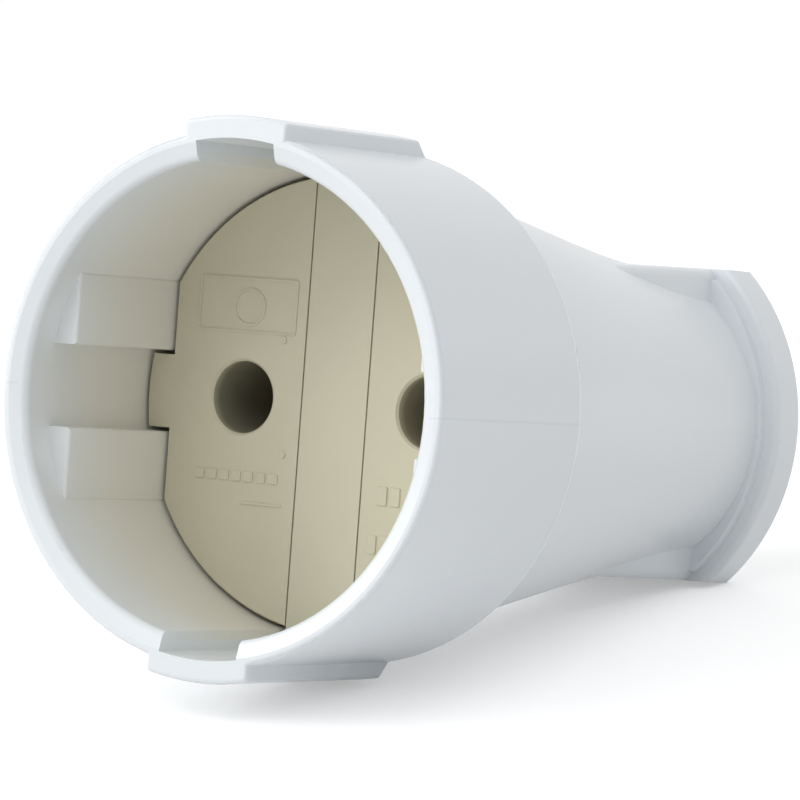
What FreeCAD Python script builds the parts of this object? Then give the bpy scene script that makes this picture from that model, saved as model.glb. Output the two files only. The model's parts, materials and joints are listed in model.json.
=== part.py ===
"""Inline socket connector: a white housing with a beige insert, two pin contacts and a cord clamp.

Every piece is drawn in the connector's own axes: Y runs from the mouth to the rear along the centre
line, X is across both pin holes and Z is towards the upper lug. At the end all pieces are laid down
together as the connector rests on a table, on its lower lug and on the lower edge of its rear flange.
Lengths are in millimetres and angles in degrees.
"""
import FreeCAD, Part
import math
import os

# Cup
recess_depth = 17.3
cup_radius = 21.9
cup_wall = 2.2
rim_lead_width = 1.5
rim_lead_depth = 0.45
rim_inner_round = 0.7
edge_round = 0.4
shoulder_cover = 0.5
shoulder_length = 2.35
shoulder_round = 1.3

# Flare and neck
shell_wall = 2.0
barrel_room = 2.85
flare_foot_round = 2.5
flare_lead = 2.1
flare_front_run = 12.0
flare_front_drop = 1.5
flare_rear_run = 12.5
flare_rear_rise = 0.5
neck_radius = 14.1
overall_length = 70.4

# Rear flange and its collar, squared blocks and cord entry
flange_half_width = 15.9
flange_side_radius = 19.7
flange_thickness = 4.3
flange_round = 0.6
flat_half_height = 14.35
collar_inset = 1.4
collar_length = 0.9
collar_round = 0.15
block_half_width = 8.0
block_length = 25.0
block_taper = 0.6
block_draft = 10.0
block_round = 1.0
rear_wall = 3.2
cord_radius = 3.5
cord_clearance = 1.0
entry_round = 0.6

# Lugs over the two channels
lug_height = 1.3
lug_half_width = 5.0
lug_length = 19.8
lug_side_round = 0.3
channel_half_width = 3.85
channel_roof = 1.9
channel_beyond_face = 2.8

# Guide blocks on the cup wall
guide_front = 3.5
guide_height = 2.5
guide_low = 3.5
guide_high = 9.65
guide_round = 0.3

# Insert
insert_gap = 0.35
face_round = 0.15
cover_thickness = 2.0
base_thickness = 1.7
strip_half_width = 3.25
parting_gap = 0.15
latch_height = 0.5
latch_half_width = 2.2
latch_length = 1.4
latch_clearance = 0.15
peg_radius = 1.25
peg_clearance = 0.05
peg_from_edge = 3.45
peg_turn = 43.7

# Contacts for round pins
pin_pitch = 19.0
pin_radius = 2.4
pin_length = 19.0
pin_fit = 0.05
pin_hole_radius = 3.1
pin_hole_depth = 9.7
pin_hole_lip = 0.2
pin_end_room = 1.2
contact_wall = 0.55
contact_collar_radius = 4.1
contact_collar_thickness = 1.3
contact_clearance = 0.1
contact_slit = 0.7
slit_length = 9.0
spring_groove = 0.2
spring_thickness = 0.5
spring_width = 3.0
spring_from_collar = 3.0
spring_opening = 1.2
barrel_wall = 1.0
terminal_length = 8.5
wire_radius = 1.3
wire_depth = 6.0

# Screws and nuts
thread_radius = 1.45
thread_clearance = 0.05
terminal_screw_length = 2.6
head_radius = 2.5
head_height = 1.6
head_round = 0.4
slot_width = 0.7
slot_depth = 0.7
nut_half_width = 2.75
nut_thickness = 1.8
nut_clearance = 0.1
screw_hole_clearance = 0.15

# Tail of the carrier and cord clamp
web_half_thickness = 1.5
tail_clearance = 3.2
tail_thickness = 2.6
tail_behind_clamp = 3.0
clamp_from_rear = 12.0
clamp_length = 5.0
post_radius = 2.2
post_height = 5.0
saddle_shoulder = 2.6
saddle_arch = 2.4

# Places worked out from the sizes above
cup_bore_radius = cup_radius - cup_wall
rim_crest_radius = cup_bore_radius + rim_lead_width
lug_radius = cup_radius + lug_height
channel_radius = lug_radius - channel_roof
guide_inner = cup_bore_radius - guide_height
cover_back = recess_depth + cover_thickness
seat_depth = cover_back + base_thickness
shoulder_depth = seat_depth + shoulder_cover
foot_depth = shoulder_depth + shoulder_length
flange_front = overall_length - flange_thickness
neck_end = flange_front - collar_length
cavity_end = overall_length - rear_wall
neck_bore_radius = neck_radius - shell_wall
insert_radius = cup_bore_radius - insert_gap
peg_across = (insert_radius - peg_from_edge) * math.cos(math.radians(peg_turn))
peg_up = (insert_radius - peg_from_edge) * math.sin(math.radians(peg_turn))
pin_across = pin_pitch / 2
contact_radius = pin_radius + pin_fit + contact_wall
tube_end = recess_depth + pin_hole_depth
contact_front = tube_end + contact_clearance
contact_seat = contact_front + contact_collar_thickness
spring_outer = contact_radius - spring_groove + spring_thickness
barrel_bore = spring_outer + contact_clearance
barrel_outer = contact_collar_radius + contact_clearance + barrel_wall
flare_radius = pin_across + barrel_outer + barrel_room + shell_wall
pin_bore_end = recess_depth + pin_length + pin_end_room
barrel_end = pin_bore_end
contact_end = pin_bore_end + terminal_length
terminal_depth = contact_end - wire_depth / 2
tail_half_width = neck_bore_radius - tail_clearance
clamp_across = tail_half_width - nut_half_width
clamp_depth = overall_length - clamp_from_rear
tail_top = -cord_radius - 0.5
tail_bottom = tail_top - tail_thickness
tail_end = clamp_depth + clamp_length / 2 + tail_behind_clamp
post_top = tail_top + post_height


def vector(x, y, z):
    return FreeCAD.Vector(x, y, z)


def rod(radius, front, back, across=0.0, up=0.0):
    """A cylinder along the centre line's direction, between two depths."""
    return Part.makeCylinder(radius, back - front, vector(across, front, up), vector(0, 1, 0))


def pillar(radius, low, high, across, depth):
    """An upright cylinder between two heights."""
    return Part.makeCylinder(radius, high - low, vector(across, depth, low), vector(0, 0, 1))


def brick(left, right, front, back, low, high):
    """A box between two limits along each axis."""
    return Part.makeBox(right - left, back - front, high - low, vector(left, front, low))


def prism(run, corners):
    """The solid swept by a flat outline of (across, depth, up) corners moved along run."""
    points = [vector(*corner) for corner in corners]
    return Part.Face(Part.makePolygon(points + points[:1])).extrude(run)


def join(first, *others):
    """All shapes fused into one solid, with leftover seams removed."""
    return first.fuse(list(others)).removeSplitter()


def corner_arc(before, corner, after, radius):
    """Start, middle and end of the arc that rounds a corner of an outline."""
    toward_before = (before - corner).normalize()
    toward_after = (after - corner).normalize()
    half_angle = toward_before.getAngle(toward_after) / 2
    run = radius / math.tan(half_angle)
    centre = corner + (toward_before + toward_after).normalize() * (radius / math.sin(half_angle))
    middle = centre + (corner - centre).normalize() * radius
    return corner + toward_before * run, middle, corner + toward_after * run


def outline(corners):
    """Edges through a list of (radius, depth, rounding) corners, with each corner rounded as asked."""
    points = [vector(radius, depth, 0) for radius, depth, rounding in corners]
    edges = []
    start = points[0]
    for index in range(1, len(points) - 1):
        rounding = corners[index][2]
        if rounding:
            first, middle, last = corner_arc(points[index - 1], points[index], points[index + 1], rounding)
            edges.append(Part.makeLine(start, first))
            edges.append(Part.Arc(first, middle, last).toShape())
            start = last
        else:
            edges.append(Part.makeLine(start, points[index]))
            start = points[index]
    edges.append(Part.makeLine(start, points[-1]))
    return edges


def lathe(edges):
    """The solid swept by a closed outline turned about the centre line."""
    wire = Part.Wire(Part.__sortEdges__(edges))
    return Part.Face(wire).revolve(vector(0, 0, 0), vector(0, 1, 0), 360)


def turned(corners):
    """A turned solid from an outline that is closed by its own first corner."""
    return lathe(outline(corners + [corners[0]]))


def flare_curve(inset):
    """The curve from the shoulder's foot to the neck, moved inwards by inset."""
    slope = flare_front_drop / flare_front_run
    start_radius = flare_radius - slope * flare_lead - inset
    start_depth = foot_depth + flare_lead
    end_radius = neck_radius - inset
    curve = Part.BezierCurve()
    curve.setPoles([
        vector(start_radius, start_depth, 0),
        vector(start_radius - flare_front_drop, start_depth + flare_front_run, 0),
        vector(end_radius + flare_rear_rise, neck_end - flare_rear_run, 0),
        vector(end_radius, neck_end, 0),
    ])
    return curve.toShape()


def body_outside():
    """Cup, shoulder, flare and neck as one turned solid."""
    curve = flare_curve(0.0)
    flare_start = curve.valueAt(curve.FirstParameter)
    front = outline([
        (0, 0, 0),
        (cup_radius, 0, edge_round),
        (cup_radius, shoulder_depth, shoulder_round),
        (flare_radius, foot_depth, flare_foot_round),
        (flare_start.x, flare_start.y, 0),
    ])
    rear = outline([
        (neck_radius, neck_end, 0),
        (neck_radius, flange_front + edge_round, 0),
        (0, flange_front + edge_round, 0),
        (0, 0, 0),
    ])
    return lathe(front + [curve] + rear)


def lug_pair():
    """The upper and lower lug, each with a sloped rear end."""
    slope_back = lug_length + lug_height
    inside = cup_bore_radius + 1
    band = turned([
        (inside, 0, 0),
        (lug_radius, 0, edge_round),
        (lug_radius, lug_length, edge_round),
        (cup_radius, slope_back, 0),
        (inside, slope_back, 0),
    ])
    lugs = []
    for side in (-1, 1):
        low, high = sorted((side * cup_bore_radius, side * (lug_radius + 1)))
        window = brick(-lug_half_width, lug_half_width, -1, slope_back + 1, low, high)
        lug = band.common(window)
        corners = [edge for edge in lug.Edges if is_lug_corner(edge)]
        lugs.append(lug.makeFillet(lug_side_round, corners))
    return lugs


def is_lug_corner(edge):
    """True for the long outer edges of a lug, which run along the centre line."""
    start = edge.Vertexes[0].Point
    end = edge.Vertexes[-1].Point
    runs_back = abs(start.y - end.y) > lug_length / 2
    radius = math.hypot(start.x, start.z)
    return runs_back and abs(radius - lug_radius) < 0.1


def squared_block():
    """The tapered block that squares off the neck above and below, with draft on its sides."""
    front = flange_front - block_length
    back = flange_front + edge_round
    front_height = flat_half_height - block_taper
    widest = block_half_width + flat_half_height * math.tan(math.radians(block_draft))
    side = prism(vector(2 * widest, 0, 0), [
        (-widest, front, -front_height),
        (-widest, back, -flat_half_height),
        (-widest, back, flat_half_height),
        (-widest, front, front_height),
    ])
    section = prism(vector(0, back - front, 0), [
        (-block_half_width, front, -flat_half_height),
        (-widest, front, 0),
        (-block_half_width, front, flat_half_height),
        (block_half_width, front, flat_half_height),
        (widest, front, 0),
        (block_half_width, front, -flat_half_height),
    ])
    block = side.common(section)
    long_edges = [edge for edge in block.Edges if edge.BoundBox.YLength > block_length / 2]
    long_edges = [edge for edge in long_edges if abs(edge.CenterOfMass.z) > front_height - 1]
    return block.makeFillet(block_round, long_edges)


def lens(inset, front, back, rounding):
    """A plate bounded at each side by an arc, drawn inwards from the flange's sides by inset."""
    side_radius = flange_side_radius - inset
    disc = turned([
        (0, front, 0),
        (side_radius, front, rounding),
        (side_radius, back, rounding),
        (0, back, 0),
    ])
    offset = flange_side_radius - flange_half_width
    left_sided = disc.copy()
    left_sided.translate(vector(offset, 0, 0))
    disc.translate(vector(-offset, 0, 0))
    return disc.common(left_sided)


def flange():
    """The rear flange, with a flat above and below."""
    reach = flange_half_width + 1
    slab = brick(-reach, reach, flange_front - 1, overall_length, -flat_half_height, flat_half_height)
    rear_edges = [edge for edge in slab.Edges if is_rear_cross_edge(edge)]
    plate = lens(0.0, flange_front, overall_length, flange_round)
    return plate.common(slab.makeFillet(edge_round, rear_edges))


def collar():
    """The low step in front of the flange, as high as the blocks cover it."""
    reach = flange_half_width
    height = flat_half_height - block_round
    slab = brick(-reach, reach, neck_end, overall_length, -height, height)
    return lens(collar_inset, neck_end, flange_front + 1, collar_round).common(slab)


def is_rear_cross_edge(edge):
    """True for the two edges of the flange's flats at its rear face."""
    at_rear = abs(edge.CenterOfMass.y - overall_length) < 0.01
    return at_rear and edge.BoundBox.XLength > flange_half_width


def cavity():
    """The space inside the shell: recess, seat for the insert, and the hollow flare and neck."""
    curve = flare_curve(shell_wall)
    start = curve.valueAt(curve.FirstParameter)
    end = curve.valueAt(curve.LastParameter)
    lead_slope = rim_lead_depth / rim_lead_width
    outside_radius = rim_crest_radius + 1 / lead_slope
    front = outline([
        (0, -1, 0),
        (outside_radius, -1, 0),
        (cup_bore_radius, rim_lead_depth, rim_inner_round),
        (cup_bore_radius, seat_depth, 0),
        (start.x, seat_depth, 0),
        (start.x, start.y, 0),
    ])
    rear = outline([
        (end.x, end.y, 0),
        (end.x, cavity_end, edge_round),
        (0, cavity_end, 0),
        (0, -1, 0),
    ])
    return lathe(front + [curve] + rear)


def cord_entry():
    """The round hole in the rear wall, with rounded lips."""
    radius = cord_radius + cord_clearance
    return turned([
        (0, cavity_end - 1, 0),
        (radius + entry_round, cavity_end - 1, 0),
        (radius + entry_round, cavity_end, 0),
        (radius, cavity_end + entry_round, 0),
        (radius, overall_length - entry_round, 0),
        (radius + entry_round, overall_length, 0),
        (radius + entry_round, overall_length + 1, 0),
        (0, overall_length + 1, 0),
    ])


def channels():
    """The two channels under the lugs, with a pocket in each for the insert's latch."""
    end = recess_depth + channel_beyond_face
    reach = channel_radius + 1
    width = brick(-channel_half_width, channel_half_width, -1, end, -reach, reach)
    pocket_back = end - latch_clearance
    pocket_front = pocket_back - latch_length - 2 * latch_clearance
    pocket_half = latch_half_width + latch_clearance
    pocket_radius = channel_radius - insert_gap + latch_height + latch_clearance
    pocket = rod(pocket_radius, pocket_front, pocket_back)
    pocket_width = brick(-pocket_half, pocket_half, pocket_front, pocket_back, -pocket_radius, pocket_radius)
    return rod(channel_radius, -1, end).common(width).fuse(pocket.common(pocket_width))


def guide_blocks():
    """Four blocks on the cup wall, two at each side, which end on the seat of the insert."""
    blocks = []
    for side in (-1, 1):
        for level in (-1, 1):
            left, right = sorted((side * guide_inner, side * (cup_bore_radius + 1)))
            low, high = sorted((level * guide_low, level * guide_high))
            block = brick(left, right, guide_front, seat_depth, low, high)
            front_edges = [edge for edge in block.Edges if is_guide_edge(edge, side)]
            block = block.makeFillet(guide_round, front_edges)
            blocks.append(block.common(rod(cup_bore_radius + 0.5, 0, seat_depth)))
    return blocks


def is_guide_edge(edge, side):
    """True for the edges round the inner face of a guide block, apart from its rear one."""
    centre = edge.CenterOfMass
    on_inner_face = abs(centre.x - side * guide_inner) < 0.01
    return on_inner_face and centre.y < seat_depth - 0.01


def make_shell():
    """The one-piece housing."""
    outside = join(body_outside(), squared_block(), collar(), flange(), *lug_pair())
    hollow = outside.cut(cavity()).cut(channels()).cut(cord_entry())
    return join(hollow, *guide_blocks())


def guide_cutouts(front, back):
    """Bricks that clear the four guide blocks, between two depths."""
    inner = guide_inner - insert_gap
    low = guide_low - insert_gap
    high = guide_high + insert_gap
    cutouts = []
    for side in (-1, 1):
        for level in (-1, 1):
            left, right = sorted((side * inner, side * (insert_radius + 1)))
            bottom, top = sorted((level * low, level * high))
            cutouts.append(brick(left, right, front, back, bottom, top))
    return cutouts


def strip():
    """The centre strip of the carrier, whose ends lie in the channels and end in latches."""
    end_radius = channel_radius - insert_gap
    end_back = recess_depth + channel_beyond_face - latch_clearance
    blank = turned([
        (0, recess_depth, 0),
        (end_radius, recess_depth, face_round),
        (end_radius, end_back, 0),
        (0, end_back, 0),
    ])
    width = brick(-strip_half_width, strip_half_width, recess_depth, end_back, -lug_radius, lug_radius)
    latch_back = end_back - latch_clearance
    latch_front = latch_back - latch_length
    latch_radius = end_radius + latch_height
    latch = turned([
        (0, latch_front, 0),
        (end_radius, latch_front, 0),
        (latch_radius, latch_back - latch_length / 3, 0),
        (latch_radius, latch_back, 0),
        (0, latch_back, 0),
    ])
    latch_width = brick(-latch_half_width, latch_half_width, latch_front, latch_back, -lug_radius, lug_radius)
    return blank.common(width).fuse(latch.common(latch_width))


def make_insert_carrier():
    """The moulding with the centre strip, the base disc, both barrels and the tail."""
    base = rod(insert_radius, cover_back, seat_depth).cut(guide_cutouts(cover_back, seat_depth))
    barrels = [rod(barrel_outer, cover_back, barrel_end, side * pin_across) for side in (-1, 1)]
    web = brick(-pin_across, pin_across, seat_depth, barrel_end, -web_half_thickness, web_half_thickness)
    rib = brick(-web_half_thickness, web_half_thickness, seat_depth, clamp_depth, tail_bottom, 0)
    rib = rib.cut(rod(cord_radius + 0.5, barrel_end, clamp_depth))
    tail = brick(-tail_half_width, tail_half_width, barrel_end - 2, tail_end, tail_bottom, tail_top)
    posts = [pillar(post_radius, tail_bottom, post_top, side * clamp_across, clamp_depth) for side in (-1, 1)]
    carrier = join(base, strip(), web, rib, tail, *barrels, *posts)
    for side in (-1, 1):
        carrier = carrier.cut(contact_room(side)).cut(nut_room(side))
        for level in (-1, 1):
            hole = rod(peg_radius + peg_clearance, cover_back, seat_depth, side * peg_across, level * peg_up)
            carrier = carrier.cut(hole)
    return carrier.removeSplitter()


def contact_room(side):
    """The space in a barrel for its contact, with a counterbore for the cover's tube and the collar."""
    across = side * pin_across
    counterbore = rod(contact_collar_radius + contact_clearance, cover_back, contact_seat, across)
    front_bore = rod(barrel_bore, contact_seat, spring_end(), across)
    rear_bore = rod(contact_radius + contact_clearance, spring_end(), barrel_end, across)
    return counterbore.fuse([front_bore, rear_bore])


def spring_end():
    """Depth just behind the contact's spring ring."""
    return contact_seat + spring_from_collar + spring_width + contact_clearance


def nut_room(side):
    """The screw hole through a post and the square pocket for its nut."""
    across = side * clamp_across
    half = nut_half_width + nut_clearance
    hole = pillar(thread_radius + screw_hole_clearance, tail_bottom - 1, post_top + 1, across, clamp_depth)
    pocket = brick(
        across - half, across + half, clamp_depth - half, clamp_depth + half,
        tail_bottom - 1, tail_bottom + nut_thickness,
    )
    return hole.fuse(pocket)


def make_contact_cover(side):
    """A face plate of the insert with two pegs and with its pin hole, which a tube carries on."""
    plate = turned([
        (0, recess_depth, 0),
        (insert_radius, recess_depth, face_round),
        (insert_radius, cover_back, 0),
        (0, cover_back, 0),
    ])
    inner = strip_half_width + parting_gap
    left, right = sorted((side * inner, side * (insert_radius + 1)))
    half = brick(left, right, recess_depth, cover_back, -insert_radius - 1, insert_radius + 1)
    plate = plate.common(half).cut(guide_cutouts(recess_depth, cover_back))
    tube = rod(contact_collar_radius, cover_back, tube_end, side * pin_across)
    pegs = []
    for level in (-1, 1):
        pegs.append(rod(peg_radius, cover_back, seat_depth - peg_clearance, side * peg_across, level * peg_up))
    return join(plate, tube, *pegs).cut(pin_hole(side))


def pin_hole(side):
    """The entry hole for a pin, with a sloped lip."""
    lip = pin_hole_radius + pin_hole_lip
    lip_back = recess_depth + pin_hole_lip
    hole = turned([
        (0, recess_depth - 1, 0),
        (lip, recess_depth - 1, 0),
        (lip, recess_depth, 0),
        (pin_hole_radius, lip_back, 0),
        (pin_hole_radius, tube_end + 1, 0),
        (0, tube_end + 1, 0),
    ])
    hole.translate(vector(side * pin_across, 0, 0))
    return hole


def make_contact(side):
    """A turned sleeve, slit in front, with a wire hole and a threaded cross hole behind."""
    across = side * pin_across
    groove_front = contact_seat + spring_from_collar
    groove_back = groove_front + spring_width
    body = join(rod(contact_collar_radius, contact_front, contact_seat, across),
                rod(contact_radius, contact_seat, contact_end, across))
    groove = rod(contact_radius + 1, groove_front, groove_back, across)
    groove = groove.cut(rod(contact_radius - spring_groove, groove_front, groove_back, across))
    pin_bore = rod(pin_radius + pin_fit, contact_front, pin_bore_end, across)
    wire_bore = rod(wire_radius, contact_end - wire_depth, contact_end, across)
    thread = pillar(thread_radius + thread_clearance, 0, contact_radius + 1, across, terminal_depth)
    slit = brick(
        across - contact_collar_radius - 1, across + contact_collar_radius + 1,
        contact_front, contact_front + slit_length, -contact_slit / 2, contact_slit / 2,
    )
    return body.cut([groove, pin_bore, wire_bore, thread, slit])


def make_contact_spring(side):
    """The open ring that squeezes the slit end of a contact."""
    across = side * pin_across
    front = contact_seat + spring_from_collar + thread_clearance
    back = front + spring_width - 2 * thread_clearance
    inner = contact_radius - spring_groove + thread_clearance
    ring = rod(spring_outer, front, back, across).cut(rod(inner, front, back, across))
    opening = brick(
        across - spring_opening / 2, across + spring_opening / 2, front, back, 0, spring_outer + 1,
    )
    return ring.cut(opening)


def slotted_screw(length, across, depth, seat):
    """A cheese-head screw that points down from its seat."""
    head = pillar(head_radius, seat, seat + head_height, across, depth)
    rims = [edge for edge in head.Edges if abs(edge.BoundBox.ZMin - seat - head_height) < 0.01]
    rims = [edge for edge in rims if edge.BoundBox.ZLength < 0.01]
    head = head.makeFillet(head_round, rims)
    slot = brick(
        across - head_radius, across + head_radius, depth - slot_width / 2, depth + slot_width / 2,
        seat + head_height - slot_depth, seat + head_height,
    )
    shank = pillar(thread_radius, seat - length, seat, across, depth)
    return join(head.cut(slot), shank)


def make_terminal_screws():
    """Both terminal screws, each in the cross hole of its contact."""
    seat = contact_radius + thread_clearance
    length = min(terminal_screw_length, seat)
    return [slotted_screw(length, side * pin_across, terminal_depth, seat) for side in (-1, 1)]


def saddle_seat():
    """Height of the saddle's shoulders, where the screw heads bear."""
    return post_top + saddle_shoulder


def make_cord_clamp_saddle():
    """The bar that bridges the cord between the two posts."""
    half_length = clamp_length / 2
    front = clamp_depth - half_length
    back = clamp_depth + half_length
    half_width = clamp_across + post_radius
    arch_radius = cord_radius + 0.2
    feet = brick(-half_width, half_width, front, back, post_top, saddle_seat())
    arch = rod(arch_radius + saddle_arch, front, back)
    arch = arch.common(brick(-half_width, half_width, front, back, post_top, arch_radius + saddle_arch))
    head_room = head_radius + screw_hole_clearance
    saddle = join(feet, arch).cut(rod(arch_radius, front - 1, back + 1))
    for side in (-1, 1):
        across = side * clamp_across
        room = pillar(head_room, saddle_seat(), arch_radius + saddle_arch + 1, across, clamp_depth)
        hole = pillar(thread_radius + screw_hole_clearance, post_top - 1, saddle_seat() + 1, across, clamp_depth)
        saddle = saddle.cut(room).cut(hole)
    return saddle


def make_cord_clamp_screws():
    """Both clamp screws, from the saddle's shoulders down through the nuts."""
    length = saddle_seat() - tail_bottom
    return [slotted_screw(length, side * clamp_across, clamp_depth, saddle_seat()) for side in (-1, 1)]


def make_cord_clamp_nuts():
    """Both square nuts in the pockets under the tail."""
    nuts = []
    for side in (-1, 1):
        across = side * clamp_across
        nut = brick(
            across - nut_half_width, across + nut_half_width,
            clamp_depth - nut_half_width, clamp_depth + nut_half_width,
            tail_bottom, tail_bottom + nut_thickness,
        )
        hole = pillar(thread_radius + thread_clearance, tail_bottom - 1, tail_top, across, clamp_depth)
        nuts.append(nut.cut(hole))
    return nuts


def resting_place():
    """The turn and the shift that lay the connector down on its lower lug and its flange's lower edge.

    Both edges have the same rounding, so the floor is parallel to the line through the two centres of
    rounding. The origin ends on the floor, under the middle of the connector.
    """
    lug_centre_down = lug_radius - edge_round
    lug_centre_depth = lug_length - edge_round * math.tan(math.radians(22.5))
    rear_centre_down = flat_half_height - edge_round
    rear_centre_depth = overall_length - edge_round
    tilt = math.atan2(lug_centre_down - rear_centre_down, rear_centre_depth - lug_centre_depth)
    sine = math.sin(tilt)
    cosine = math.cos(tilt)
    floor = -lug_centre_depth * sine - lug_centre_down * cosine - edge_round
    front = edge_round * cosine - lug_centre_down * sine - edge_round
    back = rear_centre_depth * cosine + rear_centre_down * sine + edge_round
    return math.degrees(tilt), vector(0, -(front + back) / 2, -floor)


def lay_down(shape):
    """The shape, turned and shifted to the connector's resting place."""
    tilt, shift = resting_place()
    laid = shape.copy()
    laid.rotate(vector(0, 0, 0), vector(1, 0, 0), -tilt)
    laid.translate(shift)
    return laid


def all_pieces():
    """Every piece by name, in the connector's own axes."""
    pieces = {
        "shell": make_shell(),
        "insert_carrier": make_insert_carrier(),
        "terminal_screws": Part.makeCompound(make_terminal_screws()),
        "cord_clamp_saddle": make_cord_clamp_saddle(),
        "cord_clamp_screws": Part.makeCompound(make_cord_clamp_screws()),
        "cord_clamp_nuts": Part.makeCompound(make_cord_clamp_nuts()),
    }
    for name, side in (("left", -1), ("right", 1)):
        pieces[name + "_contact_cover"] = make_contact_cover(side)
        pieces[name + "_contact"] = make_contact(side)
        pieces[name + "_contact_spring"] = make_contact_spring(side)
    return pieces


def main():
    os.makedirs("parts", exist_ok=True)
    for name, shape in all_pieces().items():
        lay_down(shape).exportStep("parts/" + name + ".step")


main()
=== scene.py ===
"""Looks, light and camera for the inline socket connector.

Sizes that describe the connector are in millimetres in its own axes: Y runs from the mouth to the rear
along the centre line, X is across both pin holes and Z is towards the upper lug. The matrix OWN turns
them into the frame, once they are in metres.
"""
import json
import math

import bmesh
import bpy
from mathutils import Matrix, Vector


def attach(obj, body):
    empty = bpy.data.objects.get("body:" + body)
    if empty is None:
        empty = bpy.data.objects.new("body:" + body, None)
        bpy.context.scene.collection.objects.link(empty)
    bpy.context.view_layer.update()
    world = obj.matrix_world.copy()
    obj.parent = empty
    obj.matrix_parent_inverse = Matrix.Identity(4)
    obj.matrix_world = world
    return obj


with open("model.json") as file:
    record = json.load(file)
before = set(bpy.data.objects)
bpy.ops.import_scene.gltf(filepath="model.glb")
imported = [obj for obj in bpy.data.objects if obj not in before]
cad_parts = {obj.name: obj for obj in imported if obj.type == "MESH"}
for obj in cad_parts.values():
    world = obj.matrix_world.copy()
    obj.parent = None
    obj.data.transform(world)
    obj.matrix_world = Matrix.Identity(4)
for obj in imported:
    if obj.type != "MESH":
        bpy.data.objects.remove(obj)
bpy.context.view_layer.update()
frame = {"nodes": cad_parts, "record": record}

MM = 0.001

# The connector's own axes within the frame
ENTRY_DEPTH = 68.8
FACE_DEPTH = 17.3

# Camera, in the connector's own axes, with its angles in degrees
CAMERA_PLACE = (229.40, -325.03, 7.14)
CAMERA_YAW = 33.06
CAMERA_PITCH = 0.88
CAMERA_ROLL = -4.22
FOCAL_LENGTH = 220.03
SENSOR_WIDTH = 36.0

# Raised marks on the face of the insert
RELIEF = 0.12
SINK = 0.05
MARK_BEVEL = 0.05

# Pin holes, in metres, and the share of the face's colour that their walls keep under painted shade
PIN_ACROSS = 0.0095
HOLE_REACH = 0.0036
HOLE_FADE_START = 0.0001
HOLE_FADE_END = 0.0012
HOLE_PAINTED_SHADE = 0.5

# Places on the shell that its material follows, in metres
WALL_RADIUS = 0.0205
CUP_END = 0.0215
CUP_FADE = 0.001
RECESS_START = 0.001
RECESS_END = 0.010
PARTING_WIDTH = 0.00012
PARTING_STRENGTH = 0.35

# Light
AMBIENT = 0.36
FLOOR_GLOW = 0.35
FLOOR_REACH = 4.0
LIGHT_TARGET = (0, 0, 0.025)


def own_axes():
    """The matrix from the connector's own axes, in metres, to the frame."""
    mounts = {mount["name"]: mount for mount in frame["record"]["mounts"]}
    entry = mounts["cord_entry"]
    back = Vector(entry["axis"]).normalized()
    across = Vector((1, 0, 0))
    up = across.cross(back)
    origin = Vector(entry["pos_m"]) - back * ENTRY_DEPTH * MM
    turn = Matrix((across, back, up)).transposed()
    return Matrix.Translation(origin) @ turn.to_4x4()


OWN = own_axes()


def make_camera():
    yaw, pitch, roll = (math.radians(angle) for angle in (CAMERA_YAW, CAMERA_PITCH, CAMERA_ROLL))
    ahead = Vector((-math.sin(yaw) * math.cos(pitch), math.cos(yaw) * math.cos(pitch), -math.sin(pitch)))
    level = Vector((math.cos(yaw), math.sin(yaw), 0))
    above = level.cross(ahead)
    right = level * math.cos(roll) - above * math.sin(roll)
    up = level * math.sin(roll) + above * math.cos(roll)
    turn = Matrix((right, up, -ahead)).transposed().to_4x4()
    data = bpy.data.cameras.new("camera")
    data.lens = FOCAL_LENGTH
    data.sensor_width = SENSOR_WIDTH
    data.clip_start = 0.01
    data.clip_end = 50
    camera = bpy.data.objects.new("camera", data)
    camera.matrix_world = OWN @ Matrix.Translation(Vector(CAMERA_PLACE) * MM) @ turn
    bpy.context.scene.collection.objects.link(camera)
    bpy.context.scene.camera = camera


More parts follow.
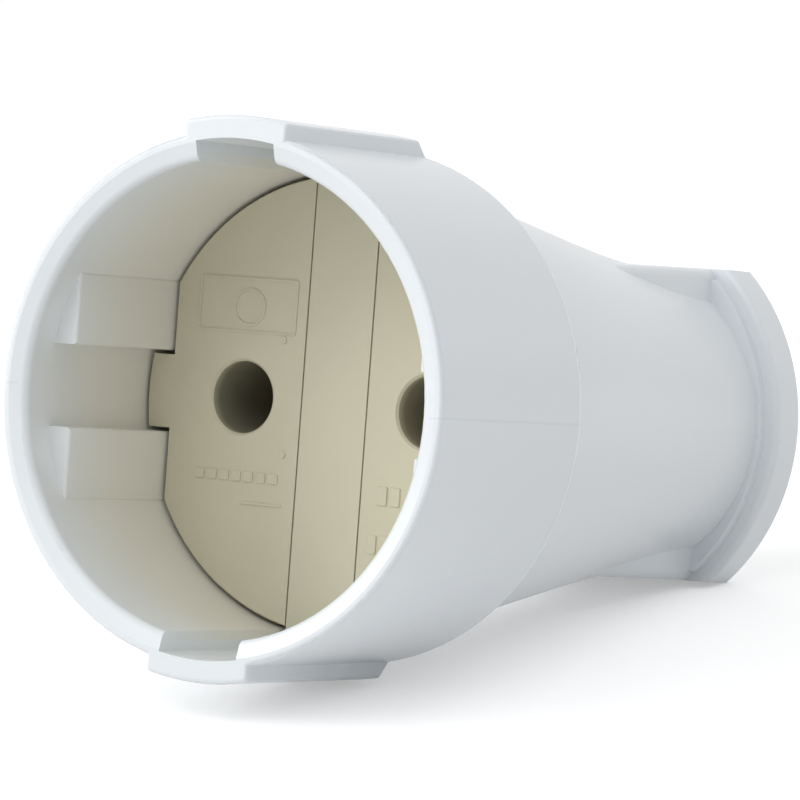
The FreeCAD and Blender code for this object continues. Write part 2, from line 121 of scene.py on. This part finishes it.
class Shader:
    """A material's node tree with short ways to add and link nodes."""

    def __init__(self, name):
        self.material = bpy.data.materials.new(name)
        self.material.use_nodes = True
        self.nodes = self.material.node_tree.nodes
        self.links = self.material.node_tree.links
        self.surface = self.nodes["Principled BSDF"]
        self.spot = 0

    def add(self, kind, **values):
        node = self.nodes.new(kind)
        self.spot -= 220
        node.location = (self.spot, 0)
        for key, value in values.items():
            if key in node.inputs:
                node.inputs[key].default_value = value
            else:
                setattr(node, key, value)
        return node

    def link(self, output, target):
        self.links.new(output, target)

    def math(self, operation, *values):
        node = self.add("ShaderNodeMath", operation=operation)
        for socket, value in zip(node.inputs, values):
            if isinstance(value, bpy.types.NodeSocket):
                self.link(value, socket)
            else:
                socket.default_value = value
        return node.outputs["Value"]

    def own_coordinates(self):
        """Object coordinates turned into the connector's own axes."""
        coordinates = self.add("ShaderNodeTexCoord")
        mapping = self.add("ShaderNodeMapping")
        inverse = OWN.inverted()
        mapping.inputs["Location"].default_value = inverse.translation
        mapping.inputs["Rotation"].default_value = inverse.to_euler()
        self.link(coordinates.outputs["Object"], mapping.inputs["Vector"])
        return mapping.outputs["Vector"]

    def noise(self, vector, scale, detail):
        node = self.add("ShaderNodeTexNoise", Scale=scale, Detail=detail)
        self.link(vector, node.inputs["Vector"])
        return node.outputs["Fac"]

    def spread(self, value, low, high, start=0.3, end=0.7):
        """The value mapped from start..end to low..high."""
        node = self.add("ShaderNodeMapRange")
        node.inputs["From Min"].default_value = start
        node.inputs["From Max"].default_value = end
        node.inputs["To Min"].default_value = low
        node.inputs["To Max"].default_value = high
        self.link(value, node.inputs["Value"])
        return node.outputs["Result"]

    def mix(self, share, low, high):
        """A colour between low and high. Each is a colour or the output of a node."""
        node = self.add("ShaderNodeMix", data_type="RGBA")
        for socket, colour in ((node.inputs[6], low), (node.inputs[7], high)):
            if isinstance(colour, bpy.types.NodeSocket):
                self.link(colour, socket)
            else:
                socket.default_value = (*colour, 1)
        self.link(share, node.inputs[0])
        return node.outputs[2]

    def tint(self, value, low, high, start=0.3, end=0.7):
        """A colour between low and high by the value."""
        return self.mix(self.spread(value, 0.0, 1.0, start, end), low, high)

    def distance(self, first, second):
        """The distance that two steps at right angles make together."""
        squares = self.math("ADD", self.math("MULTIPLY", first, first), self.math("MULTIPLY", second, second))
        return self.math("SQRT", squares)

    def centre_line(self, own):
        """Depth along the centre line, distance from it and height above it."""
        node = self.add("ShaderNodeSeparateXYZ")
        self.link(own, node.inputs["Vector"])
        across, depth, up = node.outputs
        return depth, self.distance(across, up), up

    def hole_painted_shade_mask(self, own):
        """0 on the face and everywhere outside the pin holes, rising to 1 just inside them, as the share of
        painted shade.
        """
        node = self.add("ShaderNodeSeparateXYZ")
        self.link(own, node.inputs["Vector"])
        across, depth, up = node.outputs
        from_axis = self.math("SUBTRACT", self.math("ABSOLUTE", across), PIN_ACROSS)
        near = self.math("LESS_THAN", self.distance(from_axis, up), HOLE_REACH)
        face = FACE_DEPTH * MM
        inward = self.spread(depth, 0.0, 1.0, face + HOLE_FADE_START, face + HOLE_FADE_END)
        return self.math("MULTIPLY", near, inward)

    def bump(self, height, distance, strength=1.0, before=None):
        node = self.add("ShaderNodeBump", Strength=strength, Distance=distance)
        self.link(height, node.inputs["Height"])
        if before is not None:
            self.link(before, node.inputs["Normal"])
        return node.outputs["Normal"]

    def finish(self, colour=None, roughness=None, normal=None, **values):
        for key, value in values.items():
            self.surface.inputs[key].default_value = value
        if colour is not None:
            self.link(colour, self.surface.inputs["Base Color"])
        if roughness is not None:
            self.link(roughness, self.surface.inputs["Roughness"])
        if normal is not None:
            self.link(normal, self.surface.inputs["Normal"])
        return self.material


def shell_plastic():
    """White glossy moulded plastic with a slight orange peel.

    The mould's parting line crosses the outside of the cup, and warm light bouncing off the insert is painted
    inside the recess as a creamier tint.
    """
    shader = Shader("shell_white_gloss")
    own = shader.own_coordinates()
    depth, radius, up = shader.centre_line(own)
    on_cup = shader.spread(depth, 1.0, 0.0, CUP_END - CUP_FADE, CUP_END)
    outside = shader.math("GREATER_THAN", radius, WALL_RADIUS)
    on_line = shader.spread(shader.math("ABSOLUTE", up), 1.0, 0.0, 0.0, PARTING_WIDTH)
    parting = shader.math("MULTIPLY", shader.math("MULTIPLY", on_cup, outside), on_line)
    in_recess = shader.spread(depth, 0.0, 1.0, RECESS_START, RECESS_END)
    inside = shader.math("MULTIPLY", shader.math("SUBTRACT", 1.0, outside), in_recess)
    recess_bounce_share = shader.math("MULTIPLY", inside, on_cup)
    white = shader.tint(shader.noise(own, 40, 1), (0.800, 0.840, 0.872), (0.806, 0.845, 0.876))
    # Painted warm bounce light: a creamier tint inside the recess of the cup
    bounce_warmed = shader.mix(recess_bounce_share, white, (0.827, 0.814, 0.755))
    colour = shader.mix(shader.math("MULTIPLY", parting, PARTING_STRENGTH), bounce_warmed, (0.66, 0.70, 0.74))
    roughness = shader.spread(shader.noise(own, 60, 1), 0.24, 0.27)
    peel = shader.bump(shader.noise(own, 800, 1), 0.00001, 0.3)
    waves = shader.bump(shader.noise(own, 80, 1), 0.00005, 0.2, peel)
    flash = shader.bump(parting, 0.00003, 0.6, waves)
    return shader.finish(colour, roughness, flash, **{"IOR": 1.5})


def insert_plastic(name, low, high):
    """Beige satin plastic with a fine grain, and shade painted inside the pin holes."""
    shader = Shader(name)
    own = shader.own_coordinates()
    face = shader.tint(shader.noise(own, 140, 3), low, high)
    # Painted shade: the walls of the pin holes are darkened to a share of the face's colour
    colour = shader.mix(shader.hole_painted_shade_mask(own), face, [level * HOLE_PAINTED_SHADE for level in low])
    roughness = shader.spread(shader.noise(own, 300, 2), 0.44, 0.50)
    grain = shader.bump(shader.noise(own, 2600, 2), 0.00001, 0.5)
    waves = shader.bump(shader.noise(own, 160, 2), 0.00004, 0.3, grain)
    return shader.finish(colour, roughness, waves, **{"IOR": 1.5})


def metal(name, low, high, roughness_low, roughness_high):
    shader = Shader(name)
    own = shader.own_coordinates()
    colour = shader.tint(shader.noise(own, 300, 4), low, high)
    roughness = shader.spread(shader.noise(own, 900, 4), roughness_low, roughness_high)
    scratches = shader.bump(shader.noise(own, 1800, 3), 0.00001, 0.4)
    return shader.finish(colour, roughness, scratches, **{"Metallic": 1.0})


def dull_plastic():
    shader = Shader("saddle_dull_plastic")
    own = shader.own_coordinates()
    colour = shader.tint(shader.noise(own, 400, 4), (0.40, 0.36, 0.29), (0.46, 0.42, 0.34))
    roughness = shader.spread(shader.noise(own, 700, 3), 0.55, 0.7)
    grain = shader.bump(shader.noise(own, 2200, 2), 0.00002, 0.5)
    return shader.finish(colour, roughness, grain)


def dress_nodes():
    cover = insert_plastic("insert_cover_beige", (0.620, 0.586, 0.436), (0.636, 0.602, 0.452))
    carrier = insert_plastic("insert_carrier_beige", (0.626, 0.594, 0.446), (0.642, 0.610, 0.462))
    brass = metal("contact_brass", (0.72, 0.55, 0.28), (0.80, 0.64, 0.36), 0.24, 0.36)
    steel = metal("zinc_steel", (0.56, 0.56, 0.55), (0.66, 0.66, 0.66), 0.28, 0.42)
    saddle = dull_plastic()
    finishes = {
        "shell": shell_plastic(),
        "insert_carrier": carrier,
        "left_contact_cover": cover,
        "right_contact_cover": cover,
        "left_contact": brass,
        "right_contact": brass,
        "left_contact_spring": steel,
        "right_contact_spring": steel,
        "terminal_screws": steel,
        "cord_clamp_saddle": saddle,
        "cord_clamp_screws": steel,
        "cord_clamp_nuts": steel,
    }
    for name, material in finishes.items():
        for slot in frame["nodes"][name].material_slots:
            slot.material = material
    return cover


def raised(name, shapes, material):
    """Low raised shapes on the insert's face.

    Each shape is an outline of (x, z) points, alone or with an inner one.
    """
    mesh = bpy.data.meshes.new(name)
    work = bmesh.new()
    for loops in shapes:
        levels = [[make_ring(work, loop, depth) for loop in loops] for depth in (SINK, -RELIEF)]
        for low, high in zip(*levels):
            join_rings(work, low, high)
        for rings in levels:
            if len(rings) == 1:
                work.faces.new(rings[0])
            else:
                join_rings(work, *rings)
    bmesh.ops.recalc_face_normals(work, faces=work.faces)
    work.to_mesh(mesh)
    work.free()
    mesh.transform(Matrix.Scale(MM, 4))
    mesh.transform(OWN)
    mesh.materials.append(material)
    piece = bpy.data.objects.new(name, mesh)
    bpy.context.scene.collection.objects.link(piece)
    bevel = piece.modifiers.new("edges", "BEVEL")
    bevel.width = MARK_BEVEL * MM
    bevel.segments = 2
    bevel.limit_method = "ANGLE"
    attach(piece, "root")


def make_ring(work, loop, depth):
    """The corners of a loop, this far behind the face."""
    return [work.verts.new((x, FACE_DEPTH + depth, z)) for x, z in loop]


def join_rings(work, first, second):
    """Faces between two rings with as many corners each."""
    count = len(first)
    for index in range(count):
        after = (index + 1) % count
        work.faces.new((first[index], first[after], second[after], second[index]))


def circle(centre, radius, count=64):
    x, z = centre
    steps = [2 * math.pi * index / count for index in range(count)]
    return [(x + radius * math.cos(step), z + radius * math.sin(step)) for step in steps]


def rounded_box(left, right, low, high, radius, steps=6):
    points = []
    corners = ((right - radius, high - radius, 0), (left + radius, high - radius, 1),
               (left + radius, low + radius, 2), (right - radius, low + radius, 3))
    for x, z, quarter in corners:
        for step in range(steps + 1):
            angle = math.pi / 2 * (quarter + step / steps)
            points.append((x + radius * math.cos(angle), z + radius * math.sin(angle)))
    return points


def row_of_pads(left, right, low, high, count, gap=0.3):
    """Plain rounded pads side by side."""
    step = (right - left + gap) / count
    starts = [left + step * index for index in range(count)]
    return [[rounded_box(start, start + step - gap, low, high, 0.15)] for start in starts]


def make_marks(material):
    """Blank raised marks where such an insert carries its markings."""
    frame_shape = [rounded_box(-14.6, -4.4, 5.5, 10.25, 0.3), rounded_box(-14.4, -4.6, 5.7, 10.05, 0.15)]
    ring_shape = [circle((-9.3, 7.7), 1.65), circle((-9.3, 7.7), 1.42)]
    raised("blank_frame", [frame_shape], material)
    raised("plain_ring", [ring_shape], material)
    raised("ejector_marks", [[circle((-5.6, 5.1), 0.32, 32)], [circle((-4.9, -4.6), 0.32, 32)]], material)
    raised("left_pads", row_of_pads(-13.8, -5.2, -7.2, -6.3, 7), material)
    raised("left_bar", [[rounded_box(-8.9, -4.7, -9.1, -8.85, 0.1)]], material)
    raised("right_pads", row_of_pads(5.0, 7.3, -8.1, -6.5, 2), material)
    raised("right_lower_pads", row_of_pads(4.4, 6.4, -12.2, -10.6, 2), material)


def area_light(name, place, size, energy):
    data = bpy.data.lights.new(name, "AREA")
    data.shape = "RECTANGLE"
    data.size, data.size_y = size
    data.energy = energy
    light = bpy.data.objects.new(name, data)
    light.location = place
    light.rotation_euler = (Vector(LIGHT_TARGET) - Vector(place)).to_track_quat("-Z", "Y").to_euler()
    bpy.context.scene.collection.objects.link(light)


def make_light():
    """Softboxes overhead, at the left and behind, all aimed at the middle of the connector."""
    area_light("overhead_right", (0.55, -0.10, 1.05), (0.5, 1.0), 1.75)
    area_light("overhead_back", (0.00, 0.75, 0.90), (1.0, 0.5), 2.0)
    area_light("overhead_front", (0.00, -0.80, 0.90), (1.0, 0.5), 2.6)
    area_light("far_left", (-1.00, -0.75, 0.50), (0.5, 0.6), 5.0)
    area_light("high_left", (-0.85, -0.40, 0.95), (0.5, 0.8), 2.5)
    area_light("front_left", (-0.50, -1.10, 0.40), (0.7, 0.6), 1.3)
    area_light("back_right", (0.85, 0.85, 0.50), (0.7, 0.7), 1.0)


def seen_directly(nodes, links):
    """1 for rays from the camera, from a reflection or through glass, and 0 for diffuse light."""
    path = nodes.new("ShaderNodeLightPath")
    total = path.outputs["Is Camera Ray"]
    for name in ("Is Glossy Ray", "Is Transmission Ray"):
        either = nodes.new("ShaderNodeMath")
        either.operation = "MAXIMUM"
        links.new(total, either.inputs[0])
        links.new(path.outputs[name], either.inputs[1])
        total = either.outputs["Value"]
    return total


def make_world():
    world = bpy.data.worlds.new("studio")
    bpy.context.scene.world = world
    world.use_nodes = True
    nodes = world.node_tree.nodes
    links = world.node_tree.links
    ambient = nodes["Background"]
    ambient.inputs["Color"].default_value = (1, 1, 1, 1)
    ambient.inputs["Strength"].default_value = AMBIENT
    white = nodes.new("ShaderNodeBackground")
    white.inputs["Color"].default_value = (1, 1, 1, 1)
    white.inputs["Strength"].default_value = 1.0
    mix = nodes.new("ShaderNodeMixShader")
    links.new(seen_directly(nodes, links), mix.inputs["Fac"])
    links.new(ambient.outputs["Background"], mix.inputs[1])
    links.new(white.outputs["Background"], mix.inputs[2])
    links.new(mix.outputs["Shader"], nodes["World Output"].inputs["Surface"])


def make_floor():
    mesh = bpy.data.meshes.new("floor")
    corners = [(x * FLOOR_REACH, y * FLOOR_REACH, 0) for x, y in ((-1, -1), (1, -1), (1, 1), (-1, 1))]
    mesh.from_pydata(corners, [], [(0, 1, 2, 3)])
    floor = bpy.data.objects.new("floor", mesh)
    bpy.context.scene.collection.objects.link(floor)
    shader = Shader("floor_white")
    matte = {"Base Color": (0.9, 0.9, 0.9, 1), "Roughness": 0.9, "Specular IOR Level": 0.0}
    material = shader.finish(**matte)
    nodes, links = shader.nodes, shader.links
    glow = nodes.new("ShaderNodeEmission")
    glow.inputs["Color"].default_value = (1, 1, 1, 1)
    strength = nodes.new("ShaderNodeMath")
    strength.operation = "MULTIPLY"
    strength.inputs[1].default_value = FLOOR_GLOW
    links.new(seen_directly(nodes, links), strength.inputs[0])
    links.new(strength.outputs["Value"], glow.inputs["Strength"])
    add = nodes.new("ShaderNodeAddShader")
    links.new(shader.surface.outputs["BSDF"], add.inputs[0])
    links.new(glow.outputs["Emission"], add.inputs[1])
    links.new(add.outputs["Shader"], nodes["Material Output"].inputs["Surface"])
    mesh.materials.append(material)


def main():
    make_camera()
    cover_material = dress_nodes()
    make_marks(cover_material)
    make_floor()
    make_light()
    make_world()
    bpy.context.scene.view_settings.view_transform = "Standard"


main()
